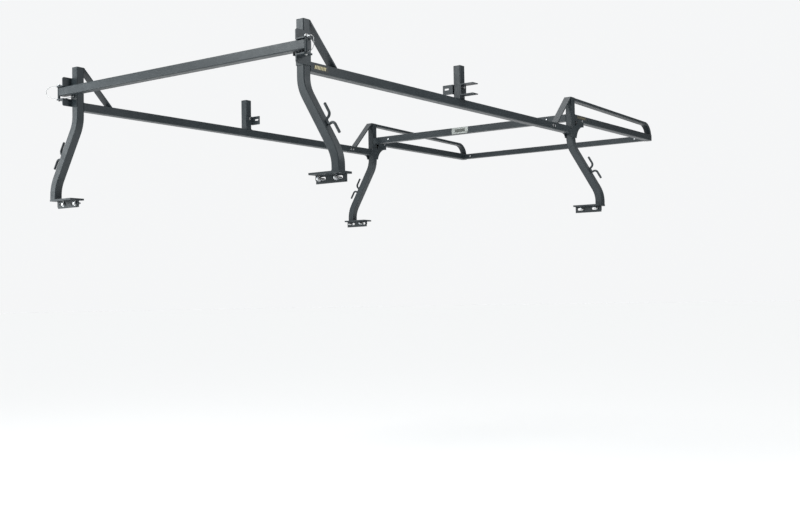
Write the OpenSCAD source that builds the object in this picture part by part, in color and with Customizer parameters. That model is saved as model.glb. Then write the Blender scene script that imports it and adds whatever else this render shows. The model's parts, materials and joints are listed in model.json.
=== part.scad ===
// Over-cab ladder rack for a service-body pickup: four cranked posts on bolted feet, side rails,
// cab-over rails under guard hoops, a fixed front crossbar, a header bar, and a rear crossbar that
// is held by two pull pins and swings clear about the right-hand one.
// +X points forward, +Y to the left, +Z up. The origin lies on the vehicle's centre line, under the
// rear faces of the rear posts, at the level of the feet's undersides.

/* [Tube] */
// Outside width of the square tube of the posts, rails and crossbars
tube = 44.45; // [40:0.05:50]
// Wall thickness of every tube
wall = 3; // [2:0.5:4]
// Outside corner radius of the square tube
corner_r = 5; // [4.5:0.5:7]
// Outside width of the square tube of the header bar
header_tube = 38.1; // [34:0.1:40]
// Thickness of the weld-on end caps
cap_t = 3; // [2:0.5:5]

/* [Overall] */
// Distance from the rear faces of the rear posts to the rear faces of the front posts
wheelhouse_len = 2524.5; // [2200:0.5:2900]
// Overall distance between the rails' outboard faces
rail_span = 1610; // [1500:1:1700]
// Overall distance between the posts' outboard faces at the feet
foot_span = 1989; // [1960:1:2040]
// Height of the posts above the feet's undersides
post_h = 692; // [670:1:760]
// Length of the cab-over rails in front of the front posts
cab_len = 1181; // [1000:1:1300]

/* [Posts] */
// Angle of the cranked part of each post from the vertical
crank_angle = 31; // [26:0.5:34]
// Centreline radius of the two bends in each post
bend_r = 165; // [140:1:180]
// Height of the centre of the upper bend
upper_bend_z = 437.5; // [430:0.5:450]

/* [Feet] */
// Thickness of the base plates
base_t = 9.5; // [8:0.5:12]
// Length of the base plates along the vehicle
base_len = 87; // [80:1:110]
// Distance from a base plate's outer end to its hook-down flange
flange_in = 47; // [46:1:60]
// Thickness of the hook-down flanges
flange_t = 8; // [6:0.5:10]
// Depth of the hook-down flanges below the base plates
flange_drop = 36.5; // [34:0.5:50]
// Radius of the foot bolts' threads
foot_bolt_r = 5.9; // [5:0.1:7]

/* [Rails] */
// Height of the side rails' top faces
side_rail_top = 507.5; // [500:0.5:520]
// Height of the top faces of the cab-over rails and the front crossbar
cab_rail_top = 588.5; // [580:0.5:600]
// Thickness of the flat strap braces
strap_t = 8; // [6:0.5:10]

/* [Hoops] */
// Thickness of the guard hoops' rectangular tube
hoop_t = 19.05; // [16:0.05:25]
// Outside radius of the guard hoops' front bend
hoop_r = 100; // [80:1:110]

/* [Rear crossbar] */
// Length of the rear crossbar's tube
bar_len = 1696; // [1690:1:1700]
// Height of the rear crossbar's top face
bar_top = 585.5; // [580:0.5:588]
// Radius of the pull pins
pin_r = 4.76; // [4:0.01:5.5]
// Radial clearance of the pull pins in their holes
pin_fit = 0.08; // [0.02:0.01:0.1]
// Diameter of the wire lanyards
lanyard_d = 3.2; // [2.5:0.1:3.5]

/* [Stakes and cleats] */
// Distance from the rear post's rear face to the side stakes
stake_x = 1252; // [900:1:1600]
// Height of the side stakes' tops
stake_top = 686.5; // [660:0.5:692]
// Diameter of the round bar of the rope cleats
cleat_d = 12.7; // [8:0.1:16]

/* [Hidden] */
$fn = 48;
LEFT = 1;
RIGHT = -1;
POWDER = [0.22, 0.24, 0.25];
ZINC = [0.80, 0.81, 0.82];
STEEL = [0.66, 0.67, 0.68];

// Places along the vehicle
front_post_x = wheelhouse_len;
cab_rail_x = front_post_x + tube;
tip_x = cab_rail_x + cab_len;
foot_mid_x = (front_post_x + tube) / 2;

// Places across the vehicle, as distances from the centre line
rail_out = rail_span / 2;
rail_in = rail_out - tube;
rail_mid = rail_out - tube / 2;
foot_out = foot_span / 2;
foot_mid = foot_out - tube / 2;
base_w = 172.5;
base_in = foot_out - base_w;

// Seam between a bend and a straight length of the same tube or bar
seam = 0.01;
// How far a cleat's foot beds into the face that it is welded to
weld_sink = 0.05;

// The crank between the two bends
crank_rise_y = (foot_mid - rail_mid) - 2 * bend_r * (1 - cos(crank_angle));
crank_len = crank_rise_y / sin(crank_angle);
upper_arc_y = rail_mid + bend_r;
lower_arc_y = foot_mid - bend_r;
lower_bend_z = upper_bend_z - 2 * bend_r * sin(crank_angle) - crank_len * cos(crank_angle);
crank_foot_y = lower_arc_y + bend_r * cos(crank_angle);
crank_foot_z = lower_bend_z + bend_r * sin(crank_angle);

// Fasteners: across-corner radii and thicknesses of the hex heads
m12_head_r = 10.4;
m12_head_t = 7.5;
m12_washer_r = 12.5;
m12_washer_t = 2.5;
foot_bolt_len = 35.5;
foot_bolt_neck_r = foot_bolt_r + 0.5;
foot_bolt_z = -14.5;
foot_slot_len = 46;
foot_slot_r = 7.5;
foot_slot_in = 35;
foot_slot_pitch = 96;
foot_bolt_shift = 12;
m8_r = 4;
m8_head_r = 7.5;
m8_head_t = 5.3;

// Telescoping joints: the sleeves inside the tubes and the stubs they reach out of
sleeve_gap = 0.4;
sleeve_wall = 3;
rail_sleeve_len = 320;
splice_bolt_x = [front_post_x - 254.5, front_post_x - 227.5];
crossbar_joint = 648;
header_joint = 712;
crossbar_bolt_in = 22;
header_bolt_in = 15;
header_x = tip_x - 49;
header_top = cab_rail_top - 6;
crossbar_x = front_post_x + tube / 2;
crossbar_z = cab_rail_top - tube / 2;
header_mid_x = header_x + header_tube / 2;
header_z = header_top - header_tube / 2;

// Braces: how far their feet stand from the posts
rear_brace_run = 183.5;
front_brace_run = 193.8;
front_brace_flat = 11.5;

// Front gussets: an outline around the post, hollowed by a large and a small arc
gusset_t = 4.8;
gusset_arc = [front_post_x + 143.5, 420];
gusset_arc_r = 96;
gusset_web_t = 5;
heel_arc = [front_post_x - 34.5, 436];
heel_arc_r = 27;
gusset_bolt = [front_post_x + 124, 552.5];

// Guard hoop: its front bend's centre, and the slope of its top run
hoop_arc = [tip_x - hoop_r, 569];
hoop_fall = 22.5;
hoop_slope = atan(hoop_fall / (hoop_arc[0] - cab_rail_x));
hoop_run = (hoop_arc[0] - cab_rail_x) / cos(hoop_slope) + 4;
hoop_corner_r = 4;

// Rear crossbar, its brackets and its pull pins
bar_gap = 0.5;
bracket_flange_t = 2.8;
bar_x = -bracket_flange_t - bar_gap - tube / 2;
bar_z = bar_top - tube / 2;
bar_end_y = bar_len / 2;
bracket_t = 6;
bracket_back = 56;
bracket_lap = 40;
bracket_low = 485.5;
bracket_h = 150;
bracket_corner_r = 10;
notch_low = 524.5;
notch_high = 587;
notch_front = -1;
ear_t = 6;
ear_reach = 53;
ear_front = -5;
pin_x = -42;
pin_y = bar_end_y + cap_t + 5;
knuckle_r = 7;
knuckle_gap = 2;
pin_tip_z = 512;
pin_chamfer = 2;
tag_t = 1.5;
tag_r = 8.5;
tag_bore_r = 4.95;
pin_seat_z = notch_high + ear_t + tag_t;
pin_head_r = 8.5;
pin_head_h = 9;
ferrule_r = 2.4;
ferrule_y = [pin_y + 10.5, pin_y + 20];
anchor_tab = [19.2, 3, 13];
anchor_z = 527;

// Lanyards, from the ferrules by the pins' heads, out and round under the crossbar to the tabs on
// the brackets. The left one bows out wide. The right one is given as if on the left.
LEFT_LANYARD = [
    [-42, 876, 596.9], [-42, 886, 597.1], [-41.5, 900, 598], [-41, 915, 599], [-40, 930, 598.8],
    [-39, 945, 596.5], [-38, 958, 591.5], [-37, 968, 584.5], [-36, 973.5, 575.5], [-35, 973, 566],
    [-34, 966.5, 558], [-32.5, 955.5, 551.5], [-31, 941, 546.5], [-29.5, 925, 542],
    [-28, 908, 537.5], [-26, 890, 533.5], [-23.5, 873, 531], [-21, 856, 530], [-19, 840, 530.3],
    [-17, 824, 531], [-15.5, 808, 532], [-14, 793, 533], [-13, 778, 533.5], [-13, 763.5, 533.5]
];
RIGHT_LANYARD = [
    [-42, 876, 596.9], [-41.5, 883, 596.2], [-40, 889.5, 592.5], [-38, 893, 586], [-36, 893.5, 578],
    [-34, 892.5, 569], [-32, 891, 560], [-30, 887.5, 551], [-28, 881.5, 543.5], [-25.5, 872.5, 538],
    [-23, 861, 534], [-21, 848, 531.5], [-19, 834, 530.5], [-17, 820, 530.8], [-15.5, 806, 532],
    [-14, 792, 533], [-13, 778, 533.5], [-13, 763.5, 533.5]
];
CORD_SIDES = 8;

// Side stakes and what is bolted to them
stake_mid_x = stake_x + tube / 2;
angle_t = 4.8;
angle_leg = 62;
angle_reach = 62;
angle_low = 535.5;
angle_h = 51;
slot_y = [707, 737];
slot_r = 5;
slot_z = 564.5;
stake_bolt_z = 572;
channel_t = 5;
channel_w = 52;
channel_low = 525.5;
channel_h = 60;
channel_reach = 79;
toe_w = 14;
toe_h = 20;
m10_r = 5;
m10_head_r = 9.2;
m10_head_t = 6.4;

// Rope cleats on the outboard faces of the cranks
cleat_foot = 10;
cleat_elbow_r = 10;
cleat_bend_r = 20;
cleat_arm = 43;
cleat_chamfer = 2;
cleat_drop = 27;

// Plate and stickers
plate_size = [0.8, 129, 40];
plate_gap = 0.05;
plate_y = -36;
decal_t = 0.3;
side_decal = [66, 98, 474, 26];
cab_decal = [front_post_x + 70, 128, 562.5, 22];

// ---- Shared shapes ----

// Puts a left-hand shape on the given side of the vehicle
module on_side(side) {
    if (side == LEFT) children();
    else mirror([0, 1, 0]) children();
}

module on_both_sides() {
    for (side = [LEFT, RIGHT]) on_side(side) children();
}

// Puts a rear shape on the front posts, turned round to face the other way
module at_front() {
    translate([2 * foot_mid_x, 0, 0]) mirror([1, 0, 0]) children();
}

// Rectangle with round corners, centred on the origin
module round_rect(w, h, r) {
    square([w - 2 * r, h], center = true);
    square([w, h - 2 * r], center = true);
    for (x = [-1, 1], y = [-1, 1]) translate([x * (w / 2 - r), y * (h / 2 - r)])
        circle(r, $fn = 24);
}

module tube_section(w = tube, h = tube, t = wall, r = corner_r) {
    difference() {
        round_rect(w, h, r);
        round_rect(w - 2 * t, h - 2 * t, r - t + 0.5);
    }
}

// Lengths of tube along each axis, by their ends and their centre line
module tube_x(x0, x1, y, z, w = tube, t = wall, r = corner_r) {
    translate([x0, y, z]) rotate([90, 0, 90]) linear_extrude(x1 - x0) tube_section(w, w, t, r);
}

module tube_y(y0, y1, x, z, w = tube, t = wall, r = corner_r) {
    translate([x, y1, z]) rotate([90, 0, 0]) linear_extrude(y1 - y0) tube_section(w, w, t, r);
}

module tube_z(z0, z1, x, y) {
    translate([x, y, z0]) linear_extrude(z1 - z0) tube_section();
}

// Extrudes an outline drawn in the X-Z plane across y0 to y1
module plate_xz(y0, y1) {
    translate([0, y1, 0]) rotate([90, 0, 0]) linear_extrude(y1 - y0) children();
}

// Sweeps a section round an arc in the Y-Z plane, or in the X-Z plane
module arc_yz(x, centre, r, a0, a1) {
    translate([x, centre[0], centre[1]]) rotate([90, 0, 90]) rotate([0, 0, a0])
        rotate_extrude(angle = a1 - a0, $fn = 120) translate([r, 0]) children();
}

module arc_xz(centre, y, r, a0, a1) {
    translate([centre[0], y, centre[1]]) rotate([90, 0, 0]) rotate([0, 0, a0])
        rotate_extrude(angle = a1 - a0, $fn = 120) translate([r, 0]) children();
}

// Hex bolt along +Y from under its head at the origin, with a nut at the far end of its grip
module cross_bolt(r, head_r, head_t, grip) {
    translate([0, -head_t, 0]) rotate([-90, 0, 0]) cylinder(r = head_r, h = head_t, $fn = 6);
    rotate([-90, 0, 0]) cylinder(r = r, h = grip + head_t + 2);
    translate([0, grip, 0]) rotate([-90, 0, 0]) cylinder(r = head_r, h = head_t, $fn = 6);
}

// ---- Posts and feet ----

// Tube along the post's centre line, a seam apart at the ends of the two bends
module post(x) {
    mid_x = x + tube / 2;
    color(POWDER) {
        translate([mid_x, rail_mid, upper_bend_z + seam])
            linear_extrude(post_h - cap_t - upper_bend_z - seam) tube_section();
        arc_yz(mid_x, [upper_arc_y, upper_bend_z], bend_r, 180, 180 + crank_angle) tube_section();
        translate([mid_x, crank_foot_y, crank_foot_z]) rotate([crank_angle, 0, 0])
            translate([0, 0, seam]) linear_extrude(crank_len - 2 * seam) tube_section();
        arc_yz(mid_x, [lower_arc_y, lower_bend_z], bend_r, 0, crank_angle) tube_section();
        translate([mid_x, foot_mid, base_t]) linear_extrude(lower_bend_z - base_t - seam)
            tube_section();
    }
}

module post_caps() {
    color(POWDER) on_both_sides() for (x = [0, front_post_x])
        translate([x + tube / 2, rail_mid, post_h - cap_t])
            linear_extrude(cap_t) round_rect(tube, tube, corner_r);
}

// Slot along Y through the flange
module foot_slot(y) {
    half = foot_slot_len / 2 - foot_slot_r;
    for (end = [-half, half]) translate([flange_in - 1, y + end, foot_bolt_z])
        rotate([0, 90, 0]) cylinder(r = foot_slot_r, h = flange_t + 2);
    translate([flange_in - 1, y - half, foot_bolt_z - foot_slot_r])
        cube([flange_t + 2, 2 * half, 2 * foot_slot_r]);
}

module foot() {
    color(POWDER) difference() {
        union() {
            translate([0, base_in, 0]) cube([base_len, base_w, base_t]);
            translate([flange_in, base_in, -flange_drop]) cube([flange_t, base_w, flange_drop]);
        }
        translate([flange_in - 1, base_in, -flange_drop]) rotate([45, 0, 0])
            cube([flange_t + 2, 24, 24], center = true);
        translate([flange_in - 1, foot_out, -flange_drop]) rotate([45, 0, 0])
            cube([flange_t + 2, 14, 14], center = true);
        foot_slot(base_in + foot_slot_in);
        foot_slot(base_in + foot_slot_in + foot_slot_pitch);
    }
}

// Repeats its children at the four feet's two bolts, facing into the flange. The rear ones sit
// inboard in their slots and the front ones outboard.
module at_foot_bolts() {
    on_both_sides() for (n = [0, 1]) {
        slot_mid = base_in + foot_slot_in + n * foot_slot_pitch;
        translate([flange_in, slot_mid - foot_bolt_shift, foot_bolt_z]) rotate([0, 90, 0]) children();
        at_front() translate([flange_in, slot_mid + foot_bolt_shift, foot_bolt_z])
            rotate([0, 90, 0]) children();
    }
}

// Hex bolts with a plain neck through the washer and flange, and a thread beyond
module foot_bolts() {
    color(ZINC) at_foot_bolts() translate([0, 0, -m12_washer_t]) {
        translate([0, 0, -m12_head_t]) cylinder(r = m12_head_r, h = m12_head_t, $fn = 6);
        cylinder(r = foot_bolt_neck_r, h = m12_washer_t + flange_t);
        cylinder(r = foot_bolt_r, h = foot_bolt_len);
    }
}

module foot_washers() {
    color(ZINC) at_foot_bolts() translate([0, 0, -m12_washer_t]) difference() {
        cylinder(r = m12_washer_r, h = m12_washer_t);
        translate([0, 0, -1]) cylinder(r = foot_bolt_neck_r + 0.2, h = m12_washer_t + 2);
    }
}

// ---- Side rails, their sleeves and braces ----

module side_rail() {
    color(POWDER) difference() {
        tube_x(tube, front_post_x, rail_mid, side_rail_top - tube / 2);
        for (x = splice_bolt_x) translate([x, rail_in - 1, side_rail_top - tube / 2])
            rotate([-90, 0, 0]) cylinder(r = m8_r + 0.3, h = tube + 2);
    }
}

// Smaller tube, welded to the front post, that the side rail slides over
module rail_sleeves() {
    sleeve = tube - 2 * wall - 2 * sleeve_gap;
    color(POWDER) on_both_sides() difference() {
        tube_x(front_post_x - rail_sleeve_len, front_post_x, rail_mid,
               side_rail_top - tube / 2, sleeve, sleeve_wall, corner_r - 1);
        for (x = splice_bolt_x) translate([x, rail_in - 1, side_rail_top - tube / 2])
            rotate([-90, 0, 0]) cylinder(r = m8_r + 0.3, h = tube + 2);
    }
}

module splice_bolts() {
    color(ZINC) on_both_sides() for (x = splice_bolt_x)
        translate([x, rail_in, side_rail_top - tube / 2]) cross_bolt(m8_r, m8_head_r, m8_head_t, tube);
}

module rear_brace() {
    drop = strap_t * sqrt(2);
    color(POWDER) plate_xz(rail_in, rail_out) polygon([
        [tube, post_h],
        [tube + rear_brace_run, side_rail_top],
        [tube + rear_brace_run - drop, side_rail_top],
        [tube, post_h - drop]
    ]);
}

module front_brace() {
    drop = strap_t * sqrt(2);
    foot_x = front_post_x - front_brace_run;
    color(POWDER) plate_xz(rail_in, rail_out) polygon([
        [foot_x, side_rail_top],
        [front_post_x - front_brace_flat, post_h],
        [front_post_x, post_h],
        [front_post_x, post_h - strap_t],
        [front_post_x - front_brace_flat + 3.3, post_h - strap_t],
        [foot_x + drop, side_rail_top]
    ]);
}

// ---- Cab-over rails, hoops and gussets ----

module cab_rail() {
    color(POWDER) difference() {
        tube_x(cab_rail_x, tip_x - cap_t, rail_mid, cab_rail_top - tube / 2);
        translate([gusset_bolt[0], rail_in - 1, gusset_bolt[1]])
            rotate([-90, 0, 0]) cylinder(r = m8_r + 0.3, h = tube + 2);
    }
}

module cab_rail_caps() {
    color(POWDER) on_both_sides() translate([tip_x - cap_t, rail_mid, cab_rail_top - tube / 2])
        rotate([90, 0, 90]) linear_extrude(cap_t) round_rect(tube, tube, corner_r);
}

// Top run from the front post, then a bend down onto the tip of the cab-over rail
module hoop() {
    mid_r = hoop_r - hoop_t / 2;
    color(POWDER) difference() {
        union() {
            translate([hoop_arc[0], rail_mid, hoop_arc[1]]) rotate([0, hoop_slope, 0])
                translate([-hoop_run, 0, mid_r]) rotate([90, 0, 90]) linear_extrude(hoop_run - seam)
                    tube_section(tube, hoop_t, wall, hoop_corner_r);
            arc_xz(hoop_arc, rail_mid, mid_r, 0, 90 - hoop_slope)
                tube_section(hoop_t, tube, wall, hoop_corner_r);
        }
        translate([cab_rail_x - 20, rail_in - 1, post_h - 60]) cube([20, tube + 2, 80]);
        translate([tip_x - 100, rail_in - 1, cab_rail_top - 60]) cube([120, tube + 2, 60]);
    }
}

// One cheek of a gusset: it laps the post and both rails
module gusset_cheek() {
    difference() {
        polygon([
            [front_post_x - 38.5, 463], [front_post_x - 38.5, 475], [front_post_x, 516],
            [front_post_x + tube, 516], [front_post_x + tube + 37, 560],
            [front_post_x + tube + 103, 560], [front_post_x + tube + 103, 438],
            [front_post_x - 38.5, 438]
        ]);
        translate(gusset_arc) circle(gusset_arc_r, $fn = 120);
        translate(heel_arc) circle(heel_arc_r, $fn = 96);
        translate([heel_arc[0] - 10, heel_arc[1]]) square([20, 2 * heel_arc_r], center = true);
        translate(gusset_bolt) circle(m8_r + 0.3);
    }
}

// Two cheeks joined by curved webs under the cab-over rail and behind the post
module gusset() {
    color(POWDER) {
        plate_xz(rail_out, rail_out + gusset_t) gusset_cheek();
        plate_xz(rail_in - gusset_t, rail_in) gusset_cheek();
        arc_xz(gusset_arc, rail_mid, gusset_arc_r + gusset_web_t / 2, 91, 168)
            square([gusset_web_t, tube - 2 * seam], center = true);
    }
}

module gusset_bolts() {
    color(ZINC) on_both_sides() translate([gusset_bolt[0], rail_in - gusset_t, gusset_bolt[1]])
        cross_bolt(m8_r, m8_head_r, m8_head_t, tube + 2 * gusset_t);
}

// ---- Front crossbar and header bar ----

// Cross holes along X for the bolts that hold a bar to its sleeves
module joint_holes(x, z, y) {
    for (side = [LEFT, RIGHT]) translate([x - tube, side * y, z]) rotate([0, 90, 0])
        cylinder(r = m8_r + 0.3, h = 2 * tube);
}

module front_crossbar() {
    color(POWDER) difference() {
        tube_y(-crossbar_joint, crossbar_joint, crossbar_x, crossbar_z);
        joint_holes(crossbar_x, crossbar_z, crossbar_joint - crossbar_bolt_in);
    }
}

module crossbar_stubs() {
    color(POWDER) on_both_sides() tube_y(crossbar_joint, rail_in, crossbar_x, crossbar_z);
}

module crossbar_sleeves() {
    sleeve = tube - 2 * wall - 2 * sleeve_gap;
    color(POWDER) difference() {
        on_both_sides() tube_y(crossbar_joint - 80, rail_in - 20, crossbar_x, crossbar_z,
                               sleeve, sleeve_wall, corner_r - 1);
        joint_holes(crossbar_x, crossbar_z, crossbar_joint - crossbar_bolt_in);
    }
}

module crossbar_bolts() {
    color(ZINC) on_both_sides()
        translate([front_post_x, crossbar_joint - crossbar_bolt_in, crossbar_z])
            rotate([0, 0, -90]) cross_bolt(m8_r, m8_head_r, m8_head_t, tube);
}

module header_bar() {
    color(POWDER) difference() {
        tube_y(-header_joint, header_joint, header_mid_x, header_z, header_tube);
        joint_holes(header_mid_x, header_z, header_joint - header_bolt_in);
    }
}

module header_stubs() {
    color(POWDER) on_both_sides() tube_y(header_joint, rail_in, header_mid_x, header_z, header_tube);
}

module header_sleeves() {
    sleeve = header_tube - 2 * wall - 2 * sleeve_gap;
    color(POWDER) difference() {
        on_both_sides() tube_y(header_joint - 60, rail_in, header_mid_x, header_z,
                               sleeve, sleeve_wall, corner_r - 1);
        joint_holes(header_mid_x, header_z, header_joint - header_bolt_in);
    }
}

module header_bolts() {
    color(ZINC) on_both_sides() translate([header_x, header_joint - header_bolt_in, header_z])
        rotate([0, 0, -90]) cross_bolt(m8_r, m8_head_r, m8_head_t, header_tube);
}

// ---- Rear crossbar ----

module bracket_outline() {
    difference() {
        translate([(bracket_lap - bracket_back) / 2, bracket_low + bracket_h / 2])
            round_rect(bracket_back + bracket_lap, bracket_h, bracket_corner_r);
        translate([-bracket_back - 1, notch_low])
            square([bracket_back + 1 + notch_front, notch_high - notch_low]);
    }
}

// Ear outboard of the bracket's plate, with its outer corners rounded
module bracket_ear(z) {
    length = ear_front + bracket_back;
    translate([ear_front - length / 2, rail_out + bracket_t, z]) linear_extrude(ear_t) {
        translate([-length / 2, -1]) square([length, ear_reach - bracket_corner_r + 1]);
        translate([0, ear_reach / 2]) round_rect(length, ear_reach, bracket_corner_r);
    }
}

// Notched side plate, a flange on the post's rear face, and two ears that hold the pull pin
module bar_bracket() {
    color(POWDER) difference() {
        union() {
            plate_xz(rail_out, rail_out + bracket_t) bracket_outline();
            translate([-bracket_flange_t, rail_in, bracket_low])
                cube([bracket_flange_t, tube + 1, bracket_h]);
            bracket_ear(notch_low - ear_t);
            bracket_ear(notch_high);
        }
        translate([pin_x, pin_y, notch_low - ear_t - 1])
            cylinder(r = pin_r + pin_fit, h = notch_high - notch_low + 2 * ear_t + 2);
    }
}

module rear_bar() {
    color(POWDER) tube_y(-bar_end_y, bar_end_y, bar_x, bar_z);
}

// End cap with its upright knuckle; the left-hand knuckle is open to the front, off its pin
module bar_end(side) {
    knuckle_low = notch_low + knuckle_gap;
    knuckle_h = notch_high - notch_low - 2 * knuckle_gap;
    bore_r = pin_r + pin_fit;
    color(POWDER) on_side(side) difference() {
        union() {
            translate([bar_x, bar_end_y + cap_t, bar_z]) rotate([90, 0, 0])
                linear_extrude(cap_t) round_rect(tube, tube, corner_r);
            translate([pin_x, pin_y, knuckle_low]) cylinder(r = knuckle_r, h = knuckle_h);
            translate([pin_x - 3, bar_end_y + cap_t - 0.5, bar_z - tube / 2 + 6])
                cube([6, 2, tube - 12]);
        }
        translate([pin_x, pin_y, knuckle_low - 1]) cylinder(r = bore_r, h = knuckle_h + 2);
        if (side == LEFT) translate([pin_x, pin_y - bore_r - 0.1, knuckle_low - 1])
            cube([knuckle_r + 2, 2 * bore_r + 0.2, knuckle_h + 2]);
    }
}

// Pull pin with a round head, seated on its lanyard's tag
module lock_pin() {
    color(ZINC) translate([pin_x, pin_y, 0]) {
        translate([0, 0, pin_tip_z + pin_chamfer])
            cylinder(r = pin_r, h = pin_seat_z - pin_tip_z - pin_chamfer);
        translate([0, 0, pin_tip_z]) cylinder(r1 = pin_r - pin_chamfer, r2 = pin_r, h = pin_chamfer);
        translate([0, 0, pin_seat_z]) cylinder(r = pin_head_r, h = pin_head_h - pin_chamfer);
        translate([0, 0, pin_seat_z + pin_head_h - pin_chamfer])
            cylinder(r1 = pin_head_r, r2 = pin_head_r - pin_chamfer, h = pin_chamfer);
    }
}

// Flat tag under the pin's head, with the ferrule that the lanyard leaves from
module lanyard_tags() {
    color(STEEL) on_both_sides() translate([pin_x, 0, pin_seat_z - tag_t]) {
        difference() {
            union() {
                translate([0, pin_y, 0]) cylinder(r = tag_r, h = tag_t);
                translate([-4, pin_y, 0]) cube([8, 18, tag_t]);
            }
            translate([0, pin_y, -1]) cylinder(r = tag_bore_r, h = tag_t + 2);
        }
        translate([0, ferrule_y[0], tag_t + ferrule_r]) rotate([-90, 0, 0])
            cylinder(r = ferrule_r, h = ferrule_y[1] - ferrule_y[0]);
    }
}

// Tab on the bracket's flange that the lanyard ends at, with the swaged button behind it
module lanyard_anchors() {
    color(STEEL) on_both_sides() {
        translate([-bracket_flange_t - anchor_tab[0], rail_in, anchor_z]) cube(anchor_tab);
        translate([-13, rail_in, anchor_z + anchor_tab[2] / 2])
            rotate([90, 0, 0]) cylinder(r = ferrule_r + 0.6, h = 3);
    }
}

// Unit vectors and the ring of points round each point of a route
function unit(v) = v / norm(v);
function route_dir(p, i) = unit(p[min(i + 1, len(p) - 1)] - p[max(i - 1, 0)]);
function across_dir(d) = unit(cross(d, [1, 0, 0]));
function ring(p, i, r) =
    let (d = i == 0 || i == len(p) - 1 ? [0, i == 0 ? 1 : -1, 0] : route_dir(p, i),
         a = across_dir(d), b = cross(d, a))
    [for (k = [0 : CORD_SIDES - 1]) let (t = 360 * k / CORD_SIDES)
        p[i] + r * (cos(t) * a + sin(t) * b)];

// Tube of the given radius along a route
module cord(p, r) {
    n = CORD_SIDES;
    last = len(p) - 1;
    points = [for (i = [0 : last]) each ring(p, i, r)];
    sides = [for (i = [0 : last - 1], k = [0 : n - 1])
        [i * n + k, i * n + (k + 1) % n, (i + 1) * n + (k + 1) % n, (i + 1) * n + k]];
    ends = [[for (k = [n - 1 : -1 : 0]) k], [for (k = [0 : n - 1]) last * n + k]];
    polyhedron(points, concat(sides, ends), convexity = 8);
}

module lanyard(route) {
    color(STEEL) cord(route, lanyard_d / 2);
}

// ---- Side stakes ----

// Tube on the side rail, with a curved toe in front of its foot
module stake() {
    color(POWDER) difference() {
        union() {
            tube_z(side_rail_top, stake_top - cap_t, stake_mid_x, rail_mid);
            translate([stake_x + tube - 1, rail_mid - 15, side_rail_top]) cube([toe_w + 1, 30, toe_h]);
        }
        translate([stake_x + tube + toe_w, rail_mid, side_rail_top + toe_h + 1]) scale([1, 1, 1.4])
            rotate([90, 0, 0]) cylinder(r = toe_w, h = 32, center = true);
        translate([stake_mid_x, rail_in - 1, stake_bolt_z]) rotate([-90, 0, 0])
            cylinder(r = m10_r + 0.3, h = tube + 2);
    }
}

module stake_caps() {
    color(POWDER) on_both_sides() translate([stake_mid_x, rail_mid, stake_top - cap_t])
        linear_extrude(cap_t) round_rect(tube, tube, corner_r);
}

// Angle on the stake's inboard face, whose tab reaches inboard and is slotted
module stake_angle() {
    front = stake_mid_x + angle_leg / 2;
    color(POWDER) difference() {
        union() {
            translate([front - angle_leg, rail_in - angle_t, angle_low])
                cube([angle_leg, angle_t, angle_h]);
            translate([front - angle_t, rail_in - angle_reach, angle_low])
                cube([angle_t, angle_reach, angle_h]);
        }
        translate([stake_mid_x, rail_in - angle_t - 1, stake_bolt_z]) rotate([-90, 0, 0])
            cylinder(r = m10_r + 0.3, h = angle_t + 2);
        for (y = [slot_y[0] + slot_r, slot_y[1] - slot_r]) translate([front - angle_t - 1, y, slot_z])
            rotate([0, 90, 0]) cylinder(r = slot_r, h = angle_t + 2);
        translate([front - angle_t - 1, slot_y[0] + slot_r, slot_z - slot_r])
            cube([angle_t + 2, slot_y[1] - slot_y[0] - 2 * slot_r, 2 * slot_r]);
    }
}

// Turns a left-hand piece of the stake half round, onto the right-hand stake
module turned() {
    translate([2 * stake_mid_x, 0, 0]) rotate([0, 0, 180]) children();
}

// Channel on the right-hand stake's outboard face, open outward
module stake_channel() {
    color(POWDER) on_side(RIGHT) difference() {
        translate([stake_mid_x - channel_w / 2, rail_out, channel_low])
            cube([channel_w, channel_reach, channel_h]);
        translate([stake_mid_x - channel_w / 2 - 1, rail_out + channel_t, channel_low + channel_t])
            cube([channel_w + 2, channel_reach, channel_h - 2 * channel_t]);
        translate([stake_mid_x, rail_out - 1, stake_bolt_z]) rotate([-90, 0, 0])
            cylinder(r = m10_r + 0.3, h = channel_t + 2);
    }
}

module stake_bolts() {
    color(ZINC) {
        translate([stake_mid_x, rail_in - angle_t, stake_bolt_z])
            cross_bolt(m10_r, m10_head_r, m10_head_t, angle_t + tube);
        on_side(RIGHT) translate([stake_mid_x, rail_in - angle_t, stake_bolt_z])
            cross_bolt(m10_r, m10_head_r, m10_head_t, angle_t + tube + channel_t);
    }
}

// ---- Rope cleats ----

// Quarter turn of a cleat's bar about X
module bar_turn(bend_r, start) {
    rotate([0, -90, 0]) rotate([0, 0, start]) rotate_extrude(angle = 90, $fn = 96)
        translate([bend_r, 0]) circle(cleat_d / 2);
}

// One round bar: a foot welded along the crank's outboard face, then an elbow, a bend and a horn each way
module cleat() {
    r = cleat_d / 2;
    turn_z = cleat_foot / 2 + seam;
    horn_y = cleat_elbow_r + seam + cleat_bend_r;
    horn_z = turn_z + cleat_elbow_r + cleat_bend_r;
    color(POWDER) translate([tube / 2, crank_foot_y, crank_foot_z]) rotate([crank_angle, 0, 0])
        translate([0, tube / 2 + r - weld_sink, crank_len / 2 - cleat_drop]) {
            translate([0, 0, -cleat_foot / 2]) cylinder(r = r, h = cleat_foot);
            for (end = [0, 1]) mirror([0, 0, end]) {
                translate([0, cleat_elbow_r, turn_z]) bar_turn(cleat_elbow_r, -90);
                translate([0, cleat_elbow_r + seam, horn_z]) bar_turn(cleat_bend_r, 90);
                translate([0, horn_y, horn_z + seam]) {
                    cylinder(r = r, h = cleat_arm);
                    translate([0, 0, cleat_arm]) cylinder(r1 = r, r2 = r - cleat_chamfer, h = cleat_chamfer);
                }
            }
        }
}

// ---- Plate and stickers ----

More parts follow.
